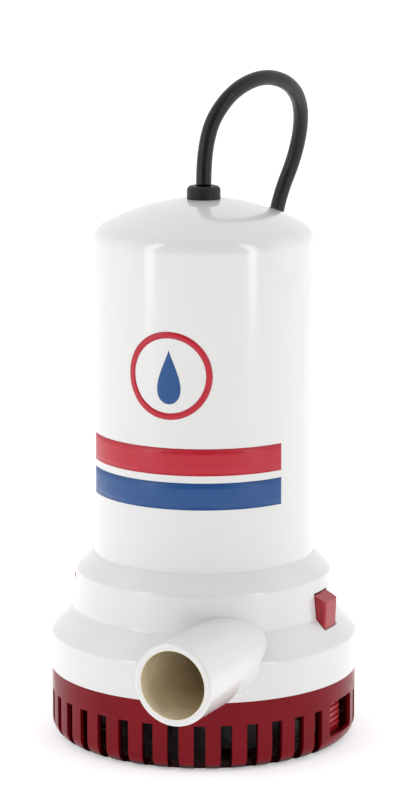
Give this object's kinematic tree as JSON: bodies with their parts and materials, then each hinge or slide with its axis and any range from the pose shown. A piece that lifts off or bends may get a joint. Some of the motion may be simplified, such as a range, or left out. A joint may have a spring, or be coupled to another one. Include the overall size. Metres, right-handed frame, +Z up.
{
  "type": "bilge pump",
  "caption": "Submersible bilge pump: white domed housing, red clip-on strainer, side hose spigot and black cord.",
  "frame": {"origin": "centre of the strainer face that rests on the bilge floor", "axes": "+Z up along the pump axis; -Y is the way the discharge spigot points; the latches lie on +X and -X"},
  "size_m": [0.14, 0.2453, 0.2386],
  "materials": {
    "white_moulding": "glossy white",
    "red_moulding": "dark crimson, glossy",
    "black_moulding": "black, satin",
    "black_rubber": "black rubber",
    "cord_jacket": "black, satin",
    "steel": "stainless",
    "zinc_plate": "zinc plated",
    "lamination": "oxidised sheet",
    "bronze": "sintered bronze and brass",
    "copper": "enamelled copper",
    "ferrite": "dark ferrite",
    "carbon": "carbon",
    "board": "green board",
    "capacitor_sleeve": "printed sleeve, no text",
    "wire_brown": "brown insulation",
    "wire_red": "red insulation"
  },
  "bodies": {
    "pump": {"board_screws": "steel", "board_standoffs": "bronze", "brush_card": "board", "brush_holder_front": "bronze", "brush_holder_rear": "bronze", "brush_spring_front": "steel", "brush_spring_rear": "steel", "choke_coil": "ferrite", "control_board": "board", "control_chip": "black_moulding", "cord_coil": "cord_jacket", "cord_gland": "black_rubber", "cord_inner_end": "cord_jacket", "cord_tail": "cord_jacket", "end_bell": "black_moulding", "filter_capacitor": "capacitor_sleeve", "housing_oring": "black_rubber", "intake_plate": "white_moulding", "intake_screws": "steel", "lead_black": "cord_jacket", "lead_brown": "wire_brown", "lead_striped": "wire_brown", "lower_bearing": "bronze", "magnet_left": "ferrite", "magnet_right": "ferrite", "motor_can": "zinc_plate", "motor_cushion": "black_rubber", "motor_housing": "white_moulding", "motor_leads": "wire_red", "motor_screws": "steel", "power_cord": "cord_jacket", "power_relay": "black_moulding", "shaft_seal": "black_rubber", "strainer_base": "red_moulding", "supply_leads": "wire_brown", "upper_bearing": "bronze", "volute_body": "white_moulding"},
    "rotor": {"motor_shaft": "steel", "armature_core": "lamination", "armature_windings": "copper", "commutator": "copper", "impeller": "black_moulding", "impeller_screw": "steel"},
    "latch_right": {"latch_arm_right": "red_moulding"},
    "latch_left": {"latch_arm_left": "red_moulding"},
    "front_brush": {"brush_front": "carbon"},
    "rear_brush": {"brush_rear": "carbon"}
  },
  "joints": [
    {"name": "rotor_spin", "type": "hinge", "parent": "pump", "child": "rotor", "pos_m": [0, 0, 0.1], "axis": [0, 0, -1], "continuous": true},
    {"name": "latch_press_right", "type": "hinge", "parent": "pump", "child": "latch_right", "pos_m": [0.0493, 0, 0.0048], "axis": [0, -1, 0], "range_deg": [0, 5.6], "stiffness_Nm_per_rad": 6},
    {"name": "latch_press_left", "type": "hinge", "parent": "pump", "child": "latch_left", "pos_m": [-0.0493, 0, 0.0048], "axis": [0, 1, 0], "range_deg": [0, 5.6], "stiffness_Nm_per_rad": 6},
    {"name": "brush_slide_front", "type": "slide", "parent": "pump", "child": "front_brush", "axis": [0, -1, 0], "range_m": [0, 0.0025], "stiffness_N_per_m": 300, "springref_m": -0.003, "deforming": ["brush_spring_front"]},
    {"name": "brush_slide_rear", "type": "slide", "parent": "pump", "child": "rear_brush", "axis": [0, 1, 0], "range_m": [0, 0.0025], "stiffness_N_per_m": 300, "springref_m": -0.003, "deforming": ["brush_spring_rear"]}
  ]
}
